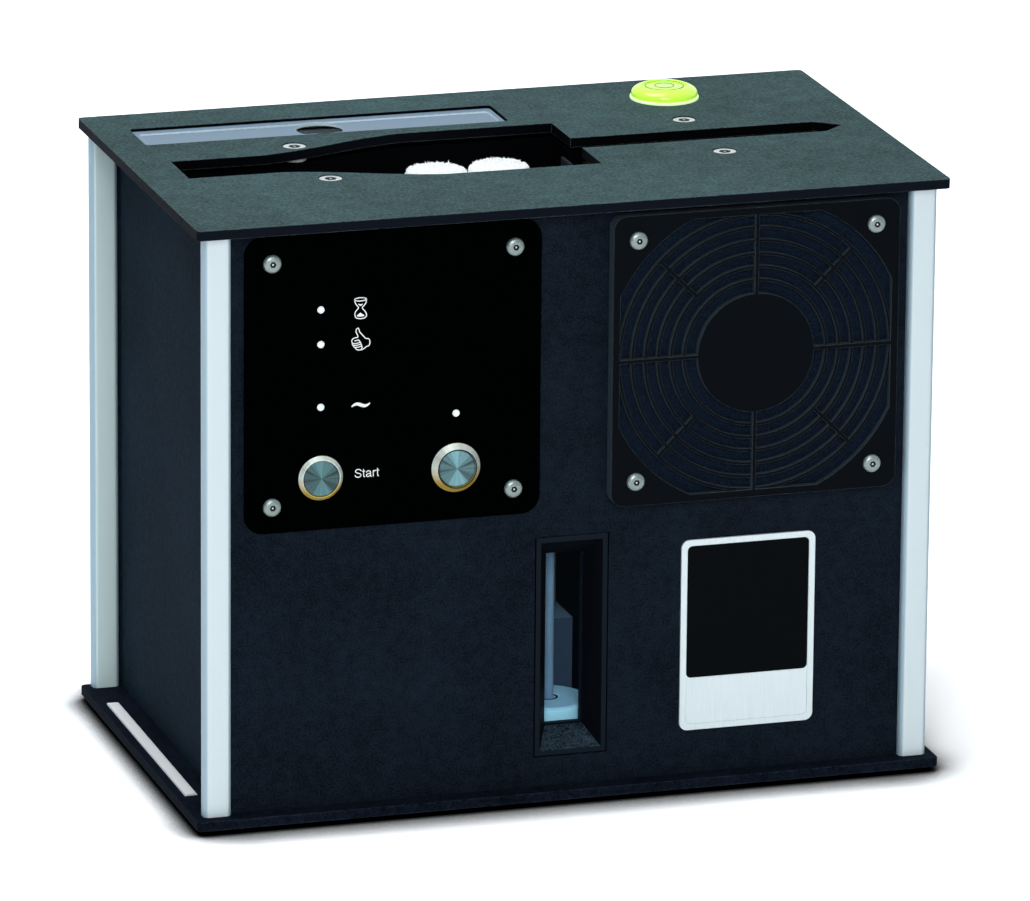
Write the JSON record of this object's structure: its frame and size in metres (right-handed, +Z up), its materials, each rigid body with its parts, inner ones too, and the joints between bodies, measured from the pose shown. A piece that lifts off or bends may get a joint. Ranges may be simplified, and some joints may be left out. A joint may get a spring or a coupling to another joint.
{
  "type": "record cleaning machine",
  "caption": "Upright machine that washes a record standing on edge, with cleaning barrels, tank, drying fan, sight window and push buttons.",
  "frame": {"origin": "middle of the footprint, on the surface that the feet stand on", "axes": "+X to the right seen from the front, +Y to the back, +Z up"},
  "size_m": [0.3286, 0.197, 0.2683],
  "materials": {
    "slate_plate": "fine textured powder coat",
    "top_finish": "fine textured grey green coat",
    "navy_panel": "fine textured dark blue coat",
    "post_metal": "satin anodised",
    "rubber_black": "matt rubber",
    "strip_metal": "bright bevelled strip",
    "badge_metal": "satin rim, dark field",
    "control_black": "smooth black",
    "screw_steel": "stainless steel",
    "light_white": "diffuse lens",
    "bezel_metal": "polished ring",
    "cap_metal": "satin cap",
    "board_green": "circuit board",
    "guard_black": "moulded black",
    "foam_navy": "open foam",
    "fan_black": "moulded black",
    "window_dark": "splayed dark frame",
    "clear_glass": "clear pane",
    "float_white": "white float",
    "tank_grey": "grey moulded",
    "deck_grey": "grey coat",
    "hose_clear": "silicone",
    "basin_dark": "dark moulded",
    "nylon_white": "nylon",
    "lip_silicone": "translucent silicone",
    "pile_white": "microfibre pile",
    "gear_nylon": "moulded nylon",
    "brass_gear": "cut brass",
    "motor_steel": "drawn can",
    "sponge_dark": "open sponge",
    "lid_clear": "clear tinted plastic",
    "level_yellow": "pale yellow green body",
    "vial_green": "yellow green liquid"
  },
  "bodies": {
    "housing": {"base_plate": "slate_plate", "top_plate": "top_finish", "front_panel": "navy_panel", "rear_panel": "navy_panel", "left_panel": "navy_panel", "right_panel": "navy_panel", "post_front_left": "post_metal", "post_front_right": "post_metal", "post_rear_left": "post_metal", "post_rear_right": "post_metal", "rubber_feet": "rubber_black", "side_strip": "strip_metal", "badge_plate": "badge_metal", "control_plate": "control_black", "front_screws": "screw_steel", "indicator_lights": "light_white", "start_bezel": "bezel_metal", "power_bezel": "bezel_metal", "control_board": "board_green", "fan_guard": "guard_black", "guard_filter": "foam_navy", "fan_frame": "fan_black", "window_frame": "window_dark", "window_glass": "clear_glass", "float_rod": "tank_grey", "water_tank": "tank_grey", "chassis_deck": "deck_grey", "pump_body": "tank_grey", "water_hoses": "hose_clear", "wash_basin": "basin_dark", "basin_spacers": "nylon_white", "top_screws": "screw_steel", "spindle_seals": "rubber_black", "wiper_lips": "lip_silicone", "transducer": "motor_steel", "drive_motor": "motor_steel", "roller_motor": "motor_steel", "filter_tray": "guard_black", "filter_sponge": "sponge_dark", "spirit_level": "level_yellow", "level_vial": "vial_green", "power_inlet": "guard_black"},
    "start_cap": {"start_button": "cap_metal"},
    "power_cap": {"power_button": "cap_metal"},
    "rotor": {"fan_rotor": "fan_black"},
    "float": {"tank_float": "float_white"},
    "brush_front_left": {"barrel_front_left": "pile_white", "spindle_front_left": "gear_nylon"},
    "brush_front_right": {"barrel_front_right": "pile_white", "spindle_front_right": "gear_nylon"},
    "brush_rear_left": {"barrel_rear_left": "pile_white", "spindle_rear_left": "gear_nylon"},
    "brush_rear_right": {"barrel_rear_right": "pile_white", "spindle_rear_right": "gear_nylon"},
    "drive_wheel": {"drive_gear": "brass_gear"},
    "roller_driven": {"drive_roller": "gear_nylon"},
    "roller_free": {"idle_roller": "gear_nylon"},
    "impeller": {"pump_impeller": "nylon_white"},
    "lid": {"filter_lid": "lid_clear"},
    "plug": {"drain_plug": "rubber_black"}
  },
  "joints": [
    {"name": "start_press", "type": "slide", "parent": "housing", "child": "start_cap", "axis": [0, 1, 0], "range_m": [0, 0.0015], "stiffness_N_per_m": 300, "springref_m": -0.0005},
    {"name": "power_press", "type": "slide", "parent": "housing", "child": "power_cap", "axis": [0, 1, 0], "range_m": [0, 0.0015], "stiffness_N_per_m": 300, "springref_m": -0.0005},
    {"name": "fan_spin", "type": "hinge", "parent": "housing", "child": "rotor", "pos_m": [0.0795, -0.075, 0.1922], "axis": [0, 1, 0], "continuous": true},
    {"name": "float_rise", "type": "slide", "parent": "housing", "child": "float", "axis": [0, 0, 1], "range_m": [0, 0.06]},
    {"name": "brush_front_left_spin", "type": "hinge", "parent": "housing", "child": "brush_front_left", "pos_m": [-0.0275, -0.0153, 0.2], "axis": [0, 0, 1], "continuous": true},
    {"name": "brush_front_right_spin", "type": "hinge", "parent": "housing", "child": "brush_front_right", "pos_m": [0.0005, -0.0153, 0.2], "axis": [0, 0, 1], "continuous": true},
    {"name": "brush_rear_left_spin", "type": "hinge", "parent": "housing", "child": "brush_rear_left", "pos_m": [-0.0275, 0.0167, 0.2], "axis": [0, 0, 1], "continuous": true},
    {"name": "brush_rear_right_spin", "type": "hinge", "parent": "housing", "child": "brush_rear_right", "pos_m": [0.0005, 0.0167, 0.2], "axis": [0, 0, 1], "continuous": true},
    {"name": "drive_spin", "type": "hinge", "parent": "housing", "child": "drive_wheel", "pos_m": [-0.0135, -0.05277, 0.12], "axis": [0, 0, 1], "continuous": true},
    {"name": "driven_roller_spin", "type": "hinge", "parent": "housing", "child": "roller_driven", "pos_m": [-0.10773, 0.0007, 0.18685], "axis": [0, 1, 0], "continuous": true},
    {"name": "free_roller_spin", "type": "hinge", "parent": "housing", "child": "roller_free", "pos_m": [0.10773, 0.0007, 0.18685], "axis": [0, 1, 0], "continuous": true},
    {"name": "impeller_spin", "type": "hinge", "parent": "housing", "child": "impeller", "pos_m": [-0.023, 0.003, 0.018], "axis": [0, 0, 1], "continuous": true},
    {"name": "lid_lift", "type": "slide", "parent": "housing", "child": "lid", "axis": [0, 0, 1], "range_m": [0, 0.03]},
    {"name": "plug_pull", "type": "slide", "parent": "housing", "child": "plug", "axis": [0, 1, 0], "range_m": [0, 0.016]}
  ],
  "couplings": [
    {"joint": "brush_rear_left_spin", "follows": "brush_front_left_spin", "ratio": -1},
    {"joint": "brush_front_right_spin", "follows": "brush_front_left_spin", "ratio": 1},
    {"joint": "brush_rear_right_spin", "follows": "brush_front_left_spin", "ratio": -1},
    {"joint": "drive_spin", "follows": "brush_front_left_spin", "ratio": -0.66667}
  ]
}
